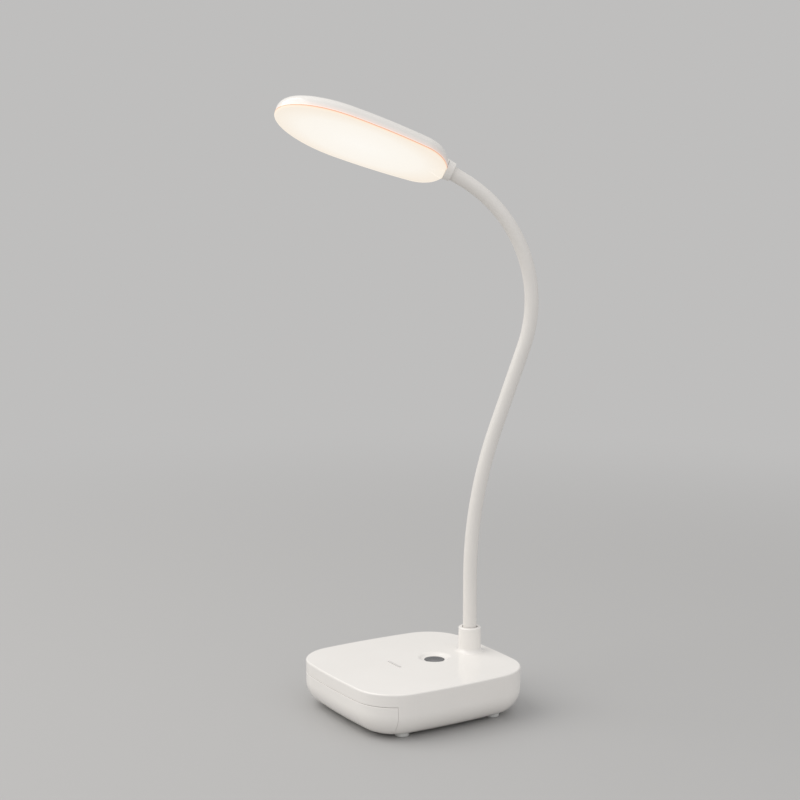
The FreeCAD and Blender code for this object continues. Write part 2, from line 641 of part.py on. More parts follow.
def board_holes():
    """The control board's four mounting holes."""
    x = BOARD_WIDTH / 2 - BOARD_HOLE_INSET
    rows = (BOARD_FRONT + BOARD_HOLE_INSET, BOARD_REAR - BOARD_HOLE_INSET)
    return [(side * x, y) for side in (-1, 1) for y in rows]


def control_board():
    """Control board hung from the lid's bosses."""
    board = box(-BOARD_WIDTH / 2, BOARD_WIDTH / 2, BOARD_FRONT, BOARD_REAR, BOARD_LOW, BOARD_TOP)
    board = board.makeFillet(BOARD_HOLE_INSET / 2, upright_edges(board))
    for x, y in board_holes():
        board = board.cut(post(x, y, BOARD_SCREW_RADIUS + FIT_GAP, FLOOR_Z, BASE_HEIGHT))
    return board


def board_parts():
    """Packages soldered on the control board, each a plain block on its face."""
    room = CEILING_Z - BOARD_TOP
    middle = (BOARD_FRONT + BOARD_REAR) / 2
    second_row = middle - PART_SPACING
    packages = [
        (-PART_SPREAD, middle, CHIP_SIDE, CHIP_SIDE, 0.45 * room),
        (-PART_SPREAD, second_row, SMALL_PART_LENGTH, SMALL_PART_WIDTH, 0.3 * room),
        (PART_SPREAD, middle, COIL_SIDE, COIL_SIDE, 0.8 * room),
        (PART_SPREAD, second_row, PLUG_WIDTH, PLUG_LENGTH, 0.4 * room),
        (0, middle, PLUG_LENGTH, PLUG_WIDTH, 0.4 * room),
        (0, SLOT_Y, SMALL_PART_LENGTH, SMALL_PART_WIDTH, 0.25 * room),
    ]
    blocks = []
    for x, y, width, length, height in packages:
        blocks.append(box(x - width / 2, x + width / 2, y - length / 2, y + length / 2,
                          BOARD_TOP, BOARD_TOP + height))
    return Part.makeCompound(blocks)


def board_screws():
    """Four small screws under the control board."""
    return Part.makeCompound([
        screw(x, y, BOARD_LOW - BOARD_SCREW_HEAD, BOARD_LOW, BOARD_SCREW_HEAD_RADIUS,
              CEILING_Z - 2 * FIT_GAP, BOARD_SCREW_RADIUS)
        for x, y in board_holes()
    ])


# ---------------------------------------------------------------- power
def battery_cell():
    """Cylindrical lithium cell lying across the base behind the drawer."""
    start = Vector(-CELL_LENGTH / 2, CELL_Y, CELL_Z)
    can = Part.makeCylinder(CELL_RADIUS, CELL_LENGTH - CELL_CAP, start, Vector(1, 0, 0))
    cap = Part.makeCylinder(CELL_CAP_RADIUS, CELL_LENGTH, start, Vector(1, 0, 0))
    return joined([can, cap])


def battery_cradle():
    """Two saddles on a thin base that hold the cell on the ballast plate."""
    half = CELL_RADIUS + CRADLE_WALL
    spread = CELL_LENGTH / 2 - CRADLE_WIDTH
    floor_top = BALLAST_TOP + CRADLE_HEIGHT / 3
    pieces = [box(-spread, spread, CELL_Y - half / 2, CELL_Y + half / 2, BALLAST_TOP, floor_top)]
    for side in (-1, 1):
        span = sorted((side * spread, side * (spread - CRADLE_WIDTH)))
        pieces.append(box(*span, CELL_Y - half, CELL_Y + half, BALLAST_TOP, BALLAST_TOP + CRADLE_HEIGHT))
    start = Vector(-CELL_LENGTH, CELL_Y, CELL_Z)
    hollow = Part.makeCylinder(CELL_RADIUS + FIT_GAP, 2 * CELL_LENGTH, start, Vector(1, 0, 0))
    return joined(pieces).cut(hollow)


def ballast_plate():
    """Steel plate on the floor under the cell, which steadies the lamp."""
    half = BALLAST_WIDTH / 2
    plate = box(-half, half, BALLAST_FRONT, BALLAST_REAR, FLOOR_Z, BALLAST_TOP)
    return plate.makeFillet(SHELL_WALL, upright_edges(plate))


def charge_board_y():
    """Middle of the charging board, where its two screws stand."""
    return socket_mouth() - CHARGE_BOARD_SETBACK - CHARGE_BOARD_LENGTH / 2


def socket_mouth():
    """How far back the charging socket's mouth lies, just inside the curved rear wall."""
    level = BELLY_RADIUS + FOOT_STANDOFF - (FLOOR_Z + CHARGE_BOARD_LIFT + CHARGE_BOARD_THICKNESS)
    return BASE_LENGTH / 2 - (BELLY_RADIUS - math.sqrt(BELLY_RADIUS ** 2 - level ** 2)) - FIT_GAP


def rounded_bar(width, height, radius, y_low, y_high, z_middle):
    """A bar along Y with a rounded rectangular section, centred on x = 0."""
    bar = box(-width / 2, width / 2, y_low, y_high, z_middle - height / 2, z_middle + height / 2)
    return bar.makeFillet(radius, [e for e in bar.Edges if e.BoundBox.YLength > (y_high - y_low) / 2])


def socket_middle():
    """Height of the charging socket's centre."""
    return FLOOR_Z + CHARGE_BOARD_LIFT + CHARGE_BOARD_THICKNESS + SOCKET_HEIGHT / 2


def socket_opening():
    """The slot through the rear wall for the charging socket."""
    width = SOCKET_WIDTH + 2 * FIT_GAP
    height = SOCKET_HEIGHT + 2 * FIT_GAP
    return rounded_bar(width, height, height / 2 - FIT_GAP, COLLAR_Y, BASE_LENGTH, socket_middle())


def charging_socket():
    """Metal shell of the charging socket with its contact tongue."""
    mouth = socket_mouth()
    radius = SOCKET_HEIGHT / 2 - FIT_GAP
    back = mouth - SOCKET_DEPTH
    shell = rounded_bar(SOCKET_WIDTH, SOCKET_HEIGHT, radius, back, mouth, socket_middle())
    width = SOCKET_WIDTH - 2 * SOCKET_SKIN
    height = SOCKET_HEIGHT - 2 * SOCKET_SKIN
    inner_radius = radius - SOCKET_SKIN
    hollow = rounded_bar(width, height, inner_radius, back + SOCKET_BACK, BASE_LENGTH, socket_middle())
    half = width / 2 - SOCKET_TONGUE_SETBACK
    tongue = box(-half, half, back + SOCKET_BACK / 2, mouth - SOCKET_TONGUE_SETBACK,
                 socket_middle() - SOCKET_TONGUE / 2, socket_middle() + SOCKET_TONGUE / 2)
    return joined([shell.cut(hollow), tongue])


def charge_board():
    """Small board that carries the charging socket."""
    low = FLOOR_Z + CHARGE_BOARD_LIFT
    middle = charge_board_y()
    half = CHARGE_BOARD_LENGTH / 2
    board = box(-CHARGE_BOARD_WIDTH / 2, CHARGE_BOARD_WIDTH / 2, middle - half, middle + half,
                low, low + CHARGE_BOARD_THICKNESS)
    for x in (-CHARGE_SCREW_SPREAD, CHARGE_SCREW_SPREAD):
        board = board.cut(post(x, middle, BOARD_SCREW_RADIUS + FIT_GAP, 0, BASE_HEIGHT))
    return board


def charge_screws():
    """Two screws that hold the charging board to its posts."""
    seat = FLOOR_Z + CHARGE_BOARD_LIFT + CHARGE_BOARD_THICKNESS
    return Part.makeCompound([
        screw(x, charge_board_y(), seat, seat + BOARD_SCREW_HEAD, BOARD_SCREW_HEAD_RADIUS,
              FLOOR_Z + 2 * FIT_GAP, BOARD_SCREW_RADIUS)
        for x in (-CHARGE_SCREW_SPREAD, CHARGE_SCREW_SPREAD)
    ])


# ---------------------------------------------------------------- neck anchor
def neck_anchor():
    """Threaded stud crimped on the hose; its flange rests inside the collar."""
    flange = post(0, COLLAR_Y, COLLAR_BORE_RADIUS - FIT_GAP, STUD_SEAT, STUD_SEAT + STUD_FLANGE)
    stem = post(0, COLLAR_Y, STUD_RADIUS, STUD_SEAT - STUD_LENGTH, STUD_SEAT)
    bore = post(0, COLLAR_Y, HOSE_RADIUS + THREAD_GAP, FLOOR_Z, COLLAR_TOP)
    return joined([flange, stem]).cut(bore)


def anchor_washer():
    """Washer between the lid's boss and the nut."""
    low = NECK_BOSS_LOW - WASHER_THICKNESS
    washer = post(0, COLLAR_Y, WASHER_RADIUS, low, NECK_BOSS_LOW)
    return washer.cut(post(0, COLLAR_Y, STUD_RADIUS + FIT_GAP, FLOOR_Z, COLLAR_TOP))


def anchor_nut():
    """Hexagonal nut that clamps the neck to the lid."""
    low = NECK_BOSS_LOW - WASHER_THICKNESS - NUT_HEIGHT
    reach = NUT_FLATS / 2 / math.cos(math.pi / 6)
    points = []
    for index in range(7):
        angle = index * math.pi / 3
        points.append(Vector(reach * math.cos(angle), COLLAR_Y + reach * math.sin(angle), low))
    nut = Part.Face(Part.makePolygon(points)).extrude(Vector(0, 0, NUT_HEIGHT))
    return nut.cut(post(0, COLLAR_Y, STUD_RADIUS + THREAD_GAP, FLOOR_Z, BASE_HEIGHT))


# ---------------------------------------------------------------- neck path
# The neck lies in an upright plane through the collar's axis, turned by NECK_YAW from the base's
# middle plane. A place in that plane is (forward, up); sideways is square to the plane.
YAW = math.radians(NECK_YAW)
FORWARD = Vector(-math.sin(YAW), -math.cos(YAW), 0)
SIDEWAYS = Vector(math.cos(YAW), -math.sin(YAW), 0)
NECK_START = STUD_SEAT + STUD_FLANGE


def neck_runs():
    """The neck's straight and curved runs as (length, turn), from its start to the head."""
    lean = math.radians(LEAN_ANGLE)
    crook = math.radians(CROOK_ANGLE)
    straight = BASE_HEIGHT + NECK_RISE - NECK_START
    return [
        (straight, 0.0),
        (LEAN_RADIUS * lean, -lean),
        (LEAN_RUN, 0.0),
        (CROOK_RADIUS * crook, crook),
        (END_RUN, 0.0),
    ]


def run_starts():
    """Each run with the distance, place and lean from upright at its start."""
    starts = []
    distance, forward, up, lean = 0.0, 0.0, NECK_START, 0.0
    for length, turn in neck_runs():
        starts.append((distance, forward, up, lean, length, turn))
        forward, up, lean = along_run(forward, up, lean, length, turn, length)
        distance += length
    return starts


def along_run(forward, up, lean, length, turn, distance):
    """Place and lean at a distance along one run."""
    if turn == 0.0:
        return forward + math.sin(lean) * distance, up + math.cos(lean) * distance, lean
    radius = length / turn
    new_lean = lean + turn * distance / length
    forward += radius * (math.cos(lean) - math.cos(new_lean))
    up += radius * (math.sin(new_lean) - math.sin(lean))
    return forward, up, new_lean


def neck_at(distance, shift=0.0):
    """Point and unit direction of the neck's centre line; shift moves the point sideways."""
    for start, forward, up, lean, length, turn in reversed(run_starts()):
        if distance >= start or start == 0.0:
            forward, up, lean = along_run(forward, up, lean, length, turn, distance - start)
            break
    point = Vector(0, COLLAR_Y, up) + FORWARD * forward + SIDEWAYS * shift
    return point, FORWARD * math.sin(lean) + Vector(0, 0, math.cos(lean))


def neck_length():
    """Length of the centre line from the anchor's flange to the head's hub."""
    return sum(length for length, turn in neck_runs())


def neck_tube(radius, bore, low, high, shift=0.0):
    """A round solid along the centre line between two distances, hollow where it has a bore."""
    spans = []
    for start, forward, up, lean, length, turn in run_starts():
        first = low if start == 0.0 else max(low, start)
        last = high if start + length > neck_length() - MATCH else min(high, start + length)
        if last - first < MATCH:
            continue
        point, direction = neck_at(first, shift)
        section = Part.Face(Part.Wire(Part.makeCircle(radius, point, direction)))
        if bore:
            section = section.cut(Part.Face(Part.Wire(Part.makeCircle(bore, point, direction))))
        if turn == 0.0:
            spans.append(section.extrude(direction * (last - first)).Solids[0])
        else:
            centre = point + SIDEWAYS.cross(direction) * (length / turn)
            angle = math.degrees(turn) * (last - first) / length
            spans.append(section.revolve(centre, SIDEWAYS, angle).Solids[0])
    return joined(spans) if len(spans) > 1 else spans[0]


def sleeve_run(low, high):
    """Soft outer sleeve."""
    return neck_tube(SLEEVE_RADIUS, SLEEVE_BORE, low, high)


def hose_run(low, high):
    """Flexible steel hose inside the sleeve."""
    return neck_tube(HOSE_RADIUS, HOSE_BORE, low, high)


def lead_run(low, high):
    """The pair of leads inside the hose."""
    shifts = [-LEAD_SPREAD, LEAD_SPREAD]
    return Part.makeCompound([neck_tube(LEAD_RADIUS, 0.0, low, high, shift) for shift in shifts])


def joint_distances():
    """Where the neck's joints lie along its centre line."""
    return [JOINT_FIRST + JOINT_PITCH * index for index in range(JOINT_COUNT)]


def section_ends(index, tail, nose):
    """Distances where section number index starts and ends, with what runs past the neck's ends."""
    joints = joint_distances()
    low = joints[index - 1] if index else -tail
    high = joints[index] if index < JOINT_COUNT else neck_length() + nose
    return low, high


def tube_section(run, index, tail, nose):
    """Section number index of the sleeve or hose. Its upper end is a ball round the next joint
    and its lower end is hollowed round its own joint, so that it can bend there."""
    low, high = section_ends(index, tail, nose)
    solid = run(low, high)
    if index < JOINT_COUNT:
        ball = Part.makeSphere(SLEEVE_RADIUS - NECK_BALL_TRIM, neck_at(high)[0])
        solid = joined([solid, run(high, high + SLEEVE_RADIUS).common(ball)])
    if index:
        solid = solid.cut(Part.makeSphere(SLEEVE_RADIUS + NECK_GAP, neck_at(low)[0]))
    return solid


def lead_section(index):
    """Section number index of the leads, which stops short of the joint below it."""
    low, high = section_ends(index, LEAD_TAIL, LEAD_INSERTION)
    return lead_run(low + SLEEVE_RADIUS + NECK_GAP if index else low, high)


# ---------------------------------------------------------------- head
def head_placement():
    """Places the head, drawn along X with its cover up, at the end of the neck. The neck can't
    twist, so the head keeps the base's middle plane as its own as the neck bends."""
    point, direction = neck_at(neck_length())
    across = SIDEWAYS.cross(direction)
    neck_up = across * -math.cos(YAW) - SIDEWAYS * math.sin(YAW)
    pitch = math.radians(HEAD_PITCH)
    long_axis = direction * math.cos(pitch) - neck_up * math.sin(pitch)
    up_axis = neck_up * math.cos(pitch) + direction * math.sin(pitch)
    wide_axis = up_axis.cross(long_axis)
    origin = point - up_axis * HEAD_AXIS_HEIGHT
    matrix = Matrix(long_axis.x, wide_axis.x, up_axis.x, origin.x,
                    long_axis.y, wide_axis.y, up_axis.y, origin.y,
                    long_axis.z, wide_axis.z, up_axis.z, origin.z,
                    0, 0, 0, 1)
    return Placement(matrix)


def on_head(shape):
    """Moves a shape from the head's own frame to its place."""
    moved = shape.copy()
    moved.Placement = head_placement().multiply(moved.Placement)
    return moved


def head_outline(inset):
    """Paddle outline: elliptical tip, two long side arcs and a round rear end that they touch."""
    half = HEAD_HALF - inset
    tip = Part.Ellipse(Vector(HEAD_SHOULDER, 0, 0), HEAD_TIP_LENGTH - inset, half)
    edges = [Part.ArcOfEllipse(tip, -math.pi / 2, math.pi / 2).toShape()]
    rear_centre = Vector(HEAD_REAR_RADIUS, 0, 0)
    meets = []
    for side in (-1, 1):
        side_centre = Vector(HEAD_SHOULDER, side * (HEAD_HALF - HEAD_SIDE_RADIUS), 0)
        toward = (rear_centre - side_centre).normalize()
        meet = side_centre + toward * (HEAD_SIDE_RADIUS - inset)
        shoulder = Vector(HEAD_SHOULDER, side * half, 0)
        halfway = (toward + Vector(0, side, 0)).normalize() * (HEAD_SIDE_RADIUS - inset)
        edges.append(Part.Arc(shoulder, side_centre + halfway, meet).toShape())
        meets.append(meet)
    edges.append(Part.Arc(meets[0], Vector(inset, 0, 0), meets[1]).toShape())
    return Part.Wire(Part.__sortEdges__(edges))


def head_slab(inset, z_low, z_high):
    """The head's outline, drawn in by inset and extruded between two heights."""
    face = Part.Face(head_outline(inset))
    face.translate(Vector(0, 0, z_low))
    return face.extrude(Vector(0, 0, z_high - z_low))


def along_head(lean, distance):
    """A step of the given length in the head's upright middle plane, leaning up by an angle."""
    angle = math.radians(lean)
    return Vector(math.cos(angle), 0, math.sin(angle)) * distance


def neck_rod(radius, low, high):
    """A cylinder round the end of the neck, in the head's frame."""
    start = Vector(0, 0, HEAD_AXIS_HEIGHT) + along_head(HEAD_PITCH, low)
    return Part.makeCylinder(radius, high - low, start, along_head(HEAD_PITCH, 1))


def hub_cone(low_radius, high_radius, low, high):
    """A tapered round solid on the hub's axis, with distances measured from the hub's face."""
    start = Vector(HUB_START, 0, HUB_HEIGHT) + along_head(HUB_PITCH, low)
    return Part.makeCone(low_radius, high_radius, high - low, start, along_head(HUB_PITCH, 1))


def hub_body(low, high, spare=0.0):
    """A stretch of the tapered hub, with its surface moved out by spare."""
    fall = (HUB_RADIUS - HUB_BLEND_RADIUS) / HUB_BLEND_LENGTH
    return hub_cone(HUB_RADIUS - fall * low + spare, HUB_RADIUS - fall * high + spare, low, high)


def neck_passage():
    """What the neck's end takes out of the hub: the ferrule's seat, the sleeve and the hose."""
    seat = hub_cone(2 * HUB_RADIUS, HUB_RADIUS + FIT_GAP, -2 * FERRULE_LENGTH, 0)
    sleeve = neck_rod(SLEEVE_RADIUS + FIT_GAP, -SLEEVE_RADIUS, SLEEVE_INSERTION + FIT_GAP)
    hose = neck_rod(HOSE_RADIUS + THREAD_GAP, 0, HOSE_INSERTION + SLIDE_GAP)
    return joined([seat, sleeve, hose])


def clamp_x():
    """Where the clamp grips the hose, along the head, just past the hub."""
    reach = HUB_RADIUS * math.sin(math.radians(HUB_PITCH))
    return HUB_START + HUB_LENGTH + reach + SLIDE_GAP + CLAMP_LENGTH / 2


def led_screw_places():
    """Screw places along the head's middle line."""
    return [LED_SCREW_FIRST + LED_SCREW_PITCH * index for index in range(LED_SCREW_COUNT)]


def clamp_screw_places():
    """Where the clamp's screws stand, either side of the hose."""
    return [-CLAMP_SPREAD, CLAMP_SPREAD]


def head_cover():
    """Domed upper shell of the head, with the upper half of the hub and its screw bosses."""
    outer = head_slab(0, 0, COVER_HEIGHT)
    outer = outer.makeFillet(COVER_ROUNDING, edges_at(outer, COVER_HEIGHT))
    inner = head_slab(COVER_WALL, -COVER_WALL, COVER_HEIGHT - COVER_WALL)
    inner = inner.makeFillet(COVER_ROUNDING - COVER_WALL, edges_at(inner, COVER_HEIGHT - COVER_WALL))
    shell = outer.cut(inner)
    upper = box(-HEAD_LENGTH, 2 * HEAD_LENGTH, -HEAD_WIDTH, HEAD_WIDTH, 0, COVER_HEIGHT * 2)
    hub = hub_body(0, HUB_LENGTH).common(upper)
    hub = hub.cut(box(0, HEAD_LENGTH, -HEAD_WIDTH, HEAD_WIDTH, COVER_HEIGHT - COVER_WALL / 2,
                      2 * COVER_HEIGHT))
    pieces = [shell, hub]
    root = COVER_HEIGHT - COVER_WALL / 2
    bosses = [post(x, 0, LED_BOSS_RADIUS, LED_BOARD_TOP, root) for x in led_screw_places()]
    bosses += [post(clamp_x(), y, CLAMP_BOSS_RADIUS, clamp_seat(), root) for y in clamp_screw_places()]
    pieces += [boss.common(outer) for boss in bosses]
    cover = joined(pieces).cut(neck_passage())
    holes = [(x, 0) for x in led_screw_places()] + [(clamp_x(), y) for y in clamp_screw_places()]
    for x, y in holes:
        cover = cover.cut(post(x, y, LED_SCREW_RADIUS + THREAD_GAP, 0, COVER_HEIGHT - COVER_WALL))
    return cover


def clamp_seat():
    """Height of the face where the clamp meets its bosses."""
    pitch = math.radians(HEAD_PITCH)
    return HEAD_AXIS_HEIGHT + math.tan(pitch) * clamp_x()


def diffuser():
    """Milky pan that closes the underside; its floor runs down into the lower half of the hub."""
    outer = head_slab(0, -DIFFUSER_DEPTH, 0)
    outer = outer.makeFillet(DIFFUSER_ROUNDING, edges_at(outer, -DIFFUSER_DEPTH))
    inner = head_slab(DIFFUSER_WALL, -DIFFUSER_DEPTH + DIFFUSER_WALL, DIFFUSER_WALL)
    lower = box(-HEAD_LENGTH, 2 * HEAD_LENGTH, -HEAD_WIDTH, HEAD_WIDTH, -COVER_HEIGHT, 0)
    blend = hub_body(0, HUB_BLEND_LENGTH).common(lower)
    hollow = hub_body(HUB_LENGTH, HUB_BLEND_LENGTH, -DIFFUSER_WALL)
    pan = joined([outer, blend]).cut(inner).cut(hollow)
    lip_inset = COVER_WALL + FIT_GAP
    lip = head_slab(lip_inset, -DIFFUSER_DEPTH / 2, DIFFUSER_LIP)
    lip = lip.cut(head_slab(lip_inset + DIFFUSER_LIP_WALL, -DIFFUSER_DEPTH, 2 * DIFFUSER_LIP))
    lip = lip.cut(hub_body(-HUB_LENGTH, HUB_LENGTH + SLIDE_GAP, SLIDE_GAP).cut(lower))
    ledge = head_slab(DIFFUSER_WALL / 2, -DIFFUSER_DEPTH / 2, 0)
    ledge = ledge.cut(head_slab(lip_inset + DIFFUSER_LIP_WALL, -DIFFUSER_DEPTH, DIFFUSER_LIP))
    hub = hub_body(0, HUB_LENGTH).common(lower)
    return joined([pan, lip, ledge, hub]).cut(neck_passage())


def neck_ferrule():
    """Tapered trim ring on the neck, just behind the head's hub, with a rebate round the sleeve."""
    ring = hub_cone(FERRULE_END_RADIUS, FERRULE_RADIUS, -FERRULE_LENGTH - FIT_GAP, -FIT_GAP)
    rims = [e for e in ring.Edges if isinstance(e.Curve, Part.Circle)]
    ring = ring.makeFillet(FERRULE_ROUNDING, rims)
    ring = ring.cut(neck_rod(SLEEVE_RADIUS + THREAD_GAP, -FERRULE_LENGTH * 2, FERRULE_LENGTH))
    rebate_end = HUB_START + FERRULE_REBATE - FERRULE_LENGTH
    rebate = neck_rod(SLEEVE_RADIUS + FERRULE_REBATE_GAP, -FERRULE_LENGTH * 2, rebate_end)
    return ring.cut(rebate)


def reflector_frame():
    """White frame between the LED board and the diffuser."""
    inset = COVER_WALL + DIFFUSER_LIP_WALL + 2 * FIT_GAP
    low = LED_BOARD_HEIGHT - REFLECTOR_HEIGHT
    frame = head_slab(inset, low, LED_BOARD_HEIGHT)
    frame = frame.cut(head_slab(inset + REFLECTOR_WALL, -COVER_HEIGHT, COVER_HEIGHT))
    return frame.cut(box(0, LED_BOARD_REAR, -HEAD_WIDTH, HEAD_WIDTH, -COVER_HEIGHT, COVER_HEIGHT))


def led_board():
    """Aluminium LED board that also spreads the heat into the cover."""
    inset = COVER_WALL + DIFFUSER_LIP_WALL + 2 * FIT_GAP
    board = head_slab(inset, LED_BOARD_HEIGHT, LED_BOARD_TOP)
    board = board.cut(box(0, LED_BOARD_REAR, -HEAD_WIDTH, HEAD_WIDTH, 0, COVER_HEIGHT))
    for x in led_screw_places():
        board = board.cut(post(x, 0, LED_SCREW_RADIUS + FIT_GAP, 0, COVER_HEIGHT))
    return board


def frame_half_width(x):
    """Half the room inside the reflector frame, at a place ahead of the head's round rear end."""
    inset = COVER_WALL + DIFFUSER_LIP_WALL + 2 * FIT_GAP + REFLECTOR_WALL
    along = x - HEAD_SHOULDER
    if along <= 0:
        return HEAD_HALF - HEAD_SIDE_RADIUS + math.sqrt((HEAD_SIDE_RADIUS - inset) ** 2 - along ** 2)
    share = along / (HEAD_TIP_LENGTH - inset)
    return (HEAD_HALF - inset) * math.sqrt(max(0.0, 1 - share ** 2))


def led_places():
    """Centres of the LEDs: rows along the head, thinned where the frame or a screw is near."""
    places = []
    keep_off = LED_LENGTH + LED_SCREW_RADIUS
    for row in range(LED_ROWS):
        y = (row - (LED_ROWS - 1) / 2) * LED_ROW_PITCH
        for column in range(LED_COLUMNS):
            x = LED_BOARD_REAR + LED_LENGTH + LED_MARGIN + column * LED_PITCH
            if abs(y) + LED_WIDTH / 2 + LED_MARGIN > frame_half_width(x + LED_LENGTH / 2):
                continue
            if y != 0 or min(abs(x - screw_x) for screw_x in led_screw_places()) > keep_off:
                places.append((x, y))
    return places


def leds():
    """White LEDs under the board."""
    chips = []
    for x, y in led_places():
        chips.append(box(x - LED_LENGTH / 2, x + LED_LENGTH / 2, y - LED_WIDTH / 2, y + LED_WIDTH / 2,
                         LED_BOARD_HEIGHT - LED_HEIGHT, LED_BOARD_HEIGHT))
    return Part.makeCompound(chips)


def led_screws():
    """Screws that pull the LED board up against the cover's bosses."""
    return Part.makeCompound([
        screw(x, 0, LED_BOARD_HEIGHT - LED_SCREW_HEAD, LED_BOARD_HEIGHT, LED_SCREW_HEAD_RADIUS,
              COVER_HEIGHT - COVER_WALL - FIT_GAP, LED_SCREW_RADIUS)
        for x in led_screw_places()
    ])


def neck_clamp():
    """Saddle that holds the hose's end against the cover: a hump round the hose and two ears."""
    top = clamp_seat()
    pitch = math.radians(HEAD_PITCH)
    drop = HOSE_RADIUS / math.cos(pitch) + CLAMP_LENGTH / 2 * math.tan(pitch) + CLAMP_WALL
    reach = HOSE_RADIUS + CLAMP_WALL
    rear = clamp_x() - CLAMP_LENGTH / 2
    front = clamp_x() + CLAMP_LENGTH / 2
    hump = box(rear, front, -reach, reach, top - drop, top)
    ears = box(rear, front, -CLAMP_WIDTH / 2, CLAMP_WIDTH / 2, top - CLAMP_EAR, top)
    saddle = joined([hump, ears])
    for y in clamp_screw_places():
        saddle = saddle.cut(post(clamp_x(), y, LED_SCREW_RADIUS + FIT_GAP, -COVER_HEIGHT, COVER_HEIGHT))
    return saddle.cut(neck_rod(HOSE_RADIUS + THREAD_GAP, -HUB_LENGTH, HEAD_LENGTH / 2))


def clamp_screws():
    """Two screws through the clamp's ears into the cover."""
    low = clamp_seat() - CLAMP_EAR
    return Part.makeCompound([
        screw(clamp_x(), y, low - LED_SCREW_HEAD, low, LED_SCREW_HEAD_RADIUS,
              COVER_HEIGHT - COVER_WALL - FIT_GAP, LED_SCREW_RADIUS)
        for y in clamp_screw_places()
    ])


# ---------------------------------------------------------------- all nodes
def neck_nodes():
    """Sleeve, hose and lead sections, numbered from the base to the head."""
    nodes = {}
    for index in range(JOINT_COUNT + 1):
        nodes["neck_sleeve_%d" % index] = tube_section(sleeve_run, index, 0.0, SLEEVE_INSERTION)
        nodes["neck_hose_%d" % index] = tube_section(hose_run, index, HOSE_TAIL, HOSE_INSERTION)
        nodes["neck_leads_%d" % index] = lead_section(index)
    return nodes


def main():
    os.makedirs("parts", exist_ok=True)
    nodes = {
        "top_housing": top_housing(),
        "lower_housing": lower_housing(),
        "inner_deck": inner_deck(),
        "drawer_front": drawer_front(),
        "drawer_tray": drawer_tray(),
        "front_screws": front_screws(),
        "rubber_feet": rubber_feet(),
        "base_screws": base_screws(),
        "touch_disc": touch_disc(),
        "touch_spring": touch_spring(),
        "indicator_light_pipe": indicator_light_pipe(),
        "control_board": control_board(),
        "board_parts": board_parts(),
        "board_screws": board_screws(),
        "battery_cell": battery_cell(),
        "battery_cradle": battery_cradle(),
        "ballast_plate": ballast_plate(),
        "charging_socket": charging_socket(),
        "charge_board": charge_board(),
        "charge_screws": charge_screws(),
        "neck_anchor": neck_anchor(),
        "anchor_washer": anchor_washer(),
        "anchor_nut": anchor_nut(),
    }
    nodes.update(neck_nodes())
    head = {
        "neck_ferrule": neck_ferrule(),
        "head_cover": head_cover(),
        "diffuser": diffuser(),
        "reflector_frame": reflector_frame(),
        "led_board": led_board(),
        "leds": leds(),
        "led_screws": led_screws(),
        "neck_clamp": neck_clamp(),
        "clamp_screws": clamp_screws(),
    }
    for name, shape in head.items():
        nodes[name] = on_head(shape)
    for name, shape in nodes.items():
        shape.exportStep("parts/%s.step" % name)


main()
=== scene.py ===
"""Looks of the rechargeable desk lamp: finishes, smooth gooseneck, glowing head, plain studio."""

import json
import math

import bmesh
import bpy
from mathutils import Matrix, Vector


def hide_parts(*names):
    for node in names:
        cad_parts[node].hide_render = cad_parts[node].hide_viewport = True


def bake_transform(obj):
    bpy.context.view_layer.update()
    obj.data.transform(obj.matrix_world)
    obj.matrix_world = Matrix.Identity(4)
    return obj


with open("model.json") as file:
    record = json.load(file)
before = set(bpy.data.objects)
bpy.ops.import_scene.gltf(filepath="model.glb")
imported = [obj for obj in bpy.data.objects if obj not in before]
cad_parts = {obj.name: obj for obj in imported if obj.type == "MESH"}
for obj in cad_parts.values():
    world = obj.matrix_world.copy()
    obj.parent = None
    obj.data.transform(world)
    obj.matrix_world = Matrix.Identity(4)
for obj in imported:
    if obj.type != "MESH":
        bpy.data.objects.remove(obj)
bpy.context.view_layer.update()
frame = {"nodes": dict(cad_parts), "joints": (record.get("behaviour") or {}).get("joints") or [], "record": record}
nodes = frame["nodes"]

# ---------------------------------------------------------------- sizes, in metres and radians
MM = 0.001

# The neck's centre line: up out of the collar, back, straight on, forward in a crook, and a short end.
COLLAR_Y = 41.0 * MM
NECK_START = 32.5 * MM
NECK_YAW = math.radians(32.3)
NECK_RISE = 73.7 * MM
LEAN_RADIUS = 288.0 * MM
LEAN_ANGLE = math.radians(18.5)
LEAN_RUN = 50.7 * MM
CROOK_RADIUS = 82.8 * MM
CROOK_ANGLE = math.radians(78.0)
END_RUN = 11.2 * MM

# The joints along that line, and the sleeve over them.
JOINT_FIRST = 32.0 * MM
JOINT_PITCH = 40.0 * MM
SLEEVE_RADIUS = 4.15 * MM
SLEEVE_BORE_RADIUS = 3.05 * MM
SLEEVE_INSERTION = 2.0 * MM
SLEEVE_STEP = 2.0 * MM
SLEEVE_SIDES = 48
SHARP_TURN = math.radians(60.0)

# The head, the plane where its diffuser meets its cover, and how far the light bleeds into the cover.
HEAD_LENGTH = 104.6 * MM
HEAD_WIDTH = 44.8 * MM
HEAD_PITCH = math.radians(13.0)
HEAD_AXIS_HEIGHT = 2.3 * MM
DIFFUSER_DEPTH = 1.7 * MM
COVER_GLOW = 3.0 * MM

# The camera at the photograph's place.
CAMERA_PLACE = (735.15 * MM, -464.68 * MM, 297.96 * MM)
CAMERA_AZIMUTH = math.radians(58.19)
CAMERA_DIP = math.radians(7.461)
CAMERA_LENS = 68.09
CAMERA_SENSOR = 36.0
CAMERA_NEAR = 0.01

